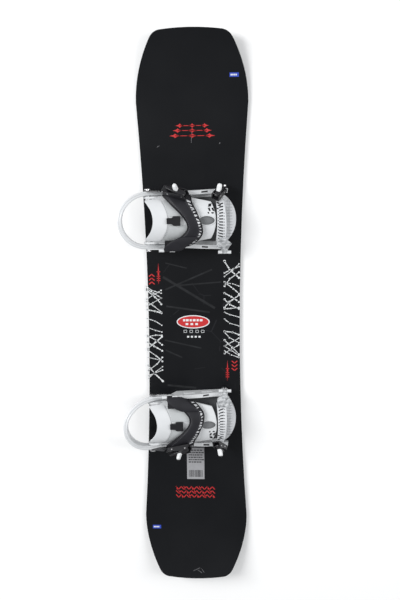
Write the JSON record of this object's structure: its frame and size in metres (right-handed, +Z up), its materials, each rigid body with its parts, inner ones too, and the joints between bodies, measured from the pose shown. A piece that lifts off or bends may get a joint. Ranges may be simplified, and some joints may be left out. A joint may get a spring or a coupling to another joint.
{
  "type": "snowboard with bindings",
  "caption": "Twin-tip snowboard with a pair of strap bindings: folding highbacks, buckled ankle and toe straps.",
  "frame": {"origin": "middle of the board's base, on the running surface", "axes": "+Y to the nose, +X to the toe side, +Z up out of the topsheet"},
  "size_m": [0.348, 1.58, 0.1272],
  "materials": {
    "base_black": "waxed sintered sheet",
    "edge_steel": "ground edge",
    "core_wood": "bare laminated strips",
    "laminate": "resin and glass fibre",
    "sidewall_black": "satin",
    "topsheet_black": "semi-gloss printed",
    "bolt_steel": "satin",
    "pin_steel": "satin",
    "binding_white": "moulded gloss",
    "ramp_white": "moulded satin",
    "highback_white": "moulded gloss",
    "cap_white": "moulded satin",
    "bracket_clear": "cloudy plastic",
    "lever_white": "moulded gloss",
    "disc_grey": "glass-filled nylon",
    "footbed_foam": "moulded foam",
    "lining_grey": "foam with fabric face",
    "trim_black": "moulded",
    "strap_black": "stitched synthetic leather over foam",
    "ladder_black": "moulded",
    "buckle_black": "anodised satin"
  },
  "bodies": {
    "board": {"base_sheet": "base_black", "disc_screws": "bolt_steel", "hoop_bolts": "bolt_steel", "inserts": "bolt_steel", "laminates": "laminate", "pivot_bolts": "bolt_steel", "sidewalls": "sidewall_black", "steel_edge": "edge_steel", "tip_spacers": "sidewall_black", "toe_bolts": "bolt_steel", "topsheet": "topsheet_black", "wood_core": "core_wood", "front_baseplate": "binding_white", "front_disc": "disc_grey", "front_footbed": "footbed_foam", "front_toe_ramp": "ramp_white", "front_heel_hoop": "binding_white", "rear_baseplate": "binding_white", "rear_disc": "disc_grey", "rear_footbed": "footbed_foam", "rear_toe_ramp": "ramp_white", "rear_heel_hoop": "binding_white"},
    "front_highback_body": {"front_highback": "highback_white", "front_highback_lining": "lining_grey"},
    "front_lean_body": {"front_lean_adjuster": "trim_black"},
    "front_ankle_extender_body": {"front_ankle_extender": "binding_white"},
    "front_ankle_strap_body": {"front_ankle_pad": "strap_black", "front_ankle_bracket": "binding_white", "front_ankle_buckle": "buckle_black", "front_ankle_pins": "pin_steel"},
    "front_ankle_lever_body": {"front_ankle_lever": "lever_white"},
    "front_ankle_release_body": {"front_ankle_release": "buckle_black"},
    "front_ankle_ladder_body": {"front_ankle_ladder": "ladder_black"},
    "front_toe_extender_body": {"front_toe_extender": "binding_white"},
    "front_toe_strap_body": {"front_toe_cap": "cap_white", "front_toe_bracket": "bracket_clear", "front_toe_buckle": "buckle_black", "front_toe_pins": "pin_steel"},
    "front_toe_lever_body": {"front_toe_lever": "lever_white"},
    "front_toe_release_body": {"front_toe_release": "buckle_black"},
    "front_toe_ladder_body": {"front_toe_ladder": "ladder_black"},
    "rear_highback_body": {"rear_highback": "highback_white", "rear_highback_lining": "lining_grey"},
    "rear_lean_body": {"rear_lean_adjuster": "trim_black"},
    "rear_ankle_extender_body": {"rear_ankle_extender": "binding_white"},
    "rear_ankle_strap_body": {"rear_ankle_pad": "strap_black", "rear_ankle_bracket": "binding_white", "rear_ankle_buckle": "buckle_black", "rear_ankle_pins": "pin_steel"},
    "rear_ankle_lever_body": {"rear_ankle_lever": "lever_white"},
    "rear_ankle_release_body": {"rear_ankle_release": "buckle_black"},
    "rear_ankle_ladder_body": {"rear_ankle_ladder": "ladder_black"},
    "rear_toe_extender_body": {"rear_toe_extender": "binding_white"},
    "rear_toe_strap_body": {"rear_toe_cap": "cap_white", "rear_toe_bracket": "bracket_clear", "rear_toe_buckle": "buckle_black", "rear_toe_pins": "pin_steel"},
    "rear_toe_lever_body": {"rear_toe_lever": "lever_white"},
    "rear_toe_release_body": {"rear_toe_release": "buckle_black"},
    "rear_toe_ladder_body": {"rear_toe_ladder": "ladder_black"}
  },
  "joints": [
    {"name": "front_highback_fold", "type": "hinge", "parent": "board", "child": "front_highback_body", "pos_m": [-0.12, 0.29, 0.07], "axis": [0, -1, 0], "range_deg": [0, 92]},
    {"name": "front_ankle_extender_swing", "type": "hinge", "parent": "board", "child": "front_ankle_extender_body", "pos_m": [-0.12, 0.212, 0.07], "axis": [0, -1, 0], "range_deg": [0, 92]},
    {"name": "front_ankle_ladder_swing", "type": "hinge", "parent": "board", "child": "front_ankle_ladder_body", "pos_m": [-0.12, 0.368, 0.07], "axis": [0, -1, 0], "range_deg": [0, 92]},
    {"name": "front_ankle_strap_open", "type": "hinge", "parent": "front_ankle_extender_body", "child": "front_ankle_strap_body", "pos_m": [-0.06862, 0.209, 0.08357], "axis": [0.9962, 0, -0.0872], "range_deg": [0, 115]},
    {"name": "front_ankle_lever_lift", "type": "hinge", "parent": "front_ankle_strap_body", "child": "front_ankle_lever_body", "pos_m": [-0.02219, 0.36214, 0.09259], "axis": [0.317, 0.667, -0.6743], "range_deg": [0, 65], "stiffness_Nm_per_rad": 0.05, "springref_deg": -17.19},
    {"name": "front_ankle_release_lift", "type": "hinge", "parent": "front_ankle_strap_body", "child": "front_ankle_release_body", "pos_m": [-0.06026, 0.37049, 0.08295], "axis": [0.317, 0.667, -0.6743], "range_deg": [0, 22], "stiffness_Nm_per_rad": 0.05, "springref_deg": -17.19},
    {"name": "front_toe_strap_swing", "type": "hinge", "parent": "board", "child": "front_toe_extender_body", "pos_m": [0.086, 0.204, 0.026], "axis": [0, 1, 0], "range_deg": [0, 14]},
    {"name": "front_toe_ladder_swing", "type": "hinge", "parent": "board", "child": "front_toe_ladder_body", "pos_m": [0.086, 0.376, 0.026], "axis": [0, 1, 0], "range_deg": [0, 14]},
    {"name": "front_toe_strap_open", "type": "hinge", "parent": "front_toe_extender_body", "child": "front_toe_strap_body", "pos_m": [0.088, 0.2, 0.05], "axis": [1, 0, 0], "range_deg": [0, 115]},
    {"name": "front_toe_lever_lift", "type": "hinge", "parent": "front_toe_strap_body", "child": "front_toe_lever_body", "pos_m": [0.0675, 0.35847, 0.07414], "axis": [0.866, -0.328, 0.3774], "range_deg": [0, 65], "stiffness_Nm_per_rad": 0.05, "springref_deg": -17.19},
    {"name": "front_toe_release_lift", "type": "hinge", "parent": "front_toe_strap_body", "child": "front_toe_release_body", "pos_m": [0.0775, 0.36719, 0.05877], "axis": [0.866, -0.328, 0.3774], "range_deg": [0, 22], "stiffness_Nm_per_rad": 0.05, "springref_deg": -17.19},
    {"name": "front_lean_adjust", "type": "slide", "parent": "front_highback_body", "child": "front_lean_body", "axis": [-0.9962, 0, 0.0872], "range_m": [0, 0.014]},
    {"name": "rear_highback_fold", "type": "hinge", "parent": "board", "child": "rear_highback_body", "pos_m": [-0.12, -0.29, 0.07], "axis": [0, -1, 0], "range_deg": [0, 92]},
    {"name": "rear_ankle_extender_swing", "type": "hinge", "parent": "board", "child": "rear_ankle_extender_body", "pos_m": [-0.12, -0.212, 0.07], "axis": [0, -1, 0], "range_deg": [0, 92]},
    {"name": "rear_ankle_ladder_swing", "type": "hinge", "parent": "board", "child": "rear_ankle_ladder_body", "pos_m": [-0.12, -0.368, 0.07], "axis": [0, -1, 0], "range_deg": [0, 92]},
    {"name": "rear_ankle_strap_open", "type": "hinge", "parent": "rear_ankle_extender_body", "child": "rear_ankle_strap_body", "pos_m": [-0.06862, -0.209, 0.08357], "axis": [-0.9962, 0, 0.0872], "range_deg": [0, 115]},
    {"name": "rear_ankle_lever_lift", "type": "hinge", "parent": "rear_ankle_strap_body", "child": "rear_ankle_lever_body", "pos_m": [-0.02219, -0.36214, 0.09259], "axis": [-0.317, 0.667, 0.6743], "range_deg": [0, 65], "stiffness_Nm_per_rad": 0.05, "springref_deg": -17.19},
    {"name": "rear_ankle_release_lift", "type": "hinge", "parent": "rear_ankle_strap_body", "child": "rear_ankle_release_body", "pos_m": [-0.06026, -0.37049, 0.08295], "axis": [-0.317, 0.667, 0.6743], "range_deg": [0, 22], "stiffness_Nm_per_rad": 0.05, "springref_deg": -17.19},
    {"name": "rear_toe_strap_swing", "type": "hinge", "parent": "board", "child": "rear_toe_extender_body", "pos_m": [0.086, -0.204, 0.026], "axis": [0, 1, 0], "range_deg": [0, 14]},
    {"name": "rear_toe_ladder_swing", "type": "hinge", "parent": "board", "child": "rear_toe_ladder_body", "pos_m": [0.086, -0.376, 0.026], "axis": [0, 1, 0], "range_deg": [0, 14]},
    {"name": "rear_toe_strap_open", "type": "hinge", "parent": "rear_toe_extender_body", "child": "rear_toe_strap_body", "pos_m": [0.088, -0.2, 0.05], "axis": [-1, 0, 0], "range_deg": [0, 115]},
    {"name": "rear_toe_lever_lift", "type": "hinge", "parent": "rear_toe_strap_body", "child": "rear_toe_lever_body", "pos_m": [0.0675, -0.35847, 0.07414], "axis": [-0.866, -0.328, -0.3774], "range_deg": [0, 65], "stiffness_Nm_per_rad": 0.05, "springref_deg": -17.19},
    {"name": "rear_toe_release_lift", "type": "hinge", "parent": "rear_toe_strap_body", "child": "rear_toe_release_body", "pos_m": [0.0775, -0.36719, 0.05877], "axis": [-0.866, -0.328, -0.3774], "range_deg": [0, 22], "stiffness_Nm_per_rad": 0.05, "springref_deg": -17.19},
    {"name": "rear_lean_adjust", "type": "slide", "parent": "rear_highback_body", "child": "rear_lean_body", "axis": [-0.9962, 0, 0.0872], "range_m": [0, 0.014]}
  ],
  "couplings": [
    {"joint": "front_ankle_extender_swing", "follows": "front_highback_fold", "ratio": 1},
    {"joint": "front_ankle_ladder_swing", "follows": "front_highback_fold", "ratio": 1},
    {"joint": "front_toe_ladder_swing", "follows": "front_toe_strap_swing", "ratio": 1},
    {"joint": "rear_ankle_extender_swing", "follows": "rear_highback_fold", "ratio": 1},
    {"joint": "rear_ankle_ladder_swing", "follows": "rear_highback_fold", "ratio": 1},
    {"joint": "rear_toe_ladder_swing", "follows": "rear_toe_strap_swing", "ratio": 1}
  ]
}
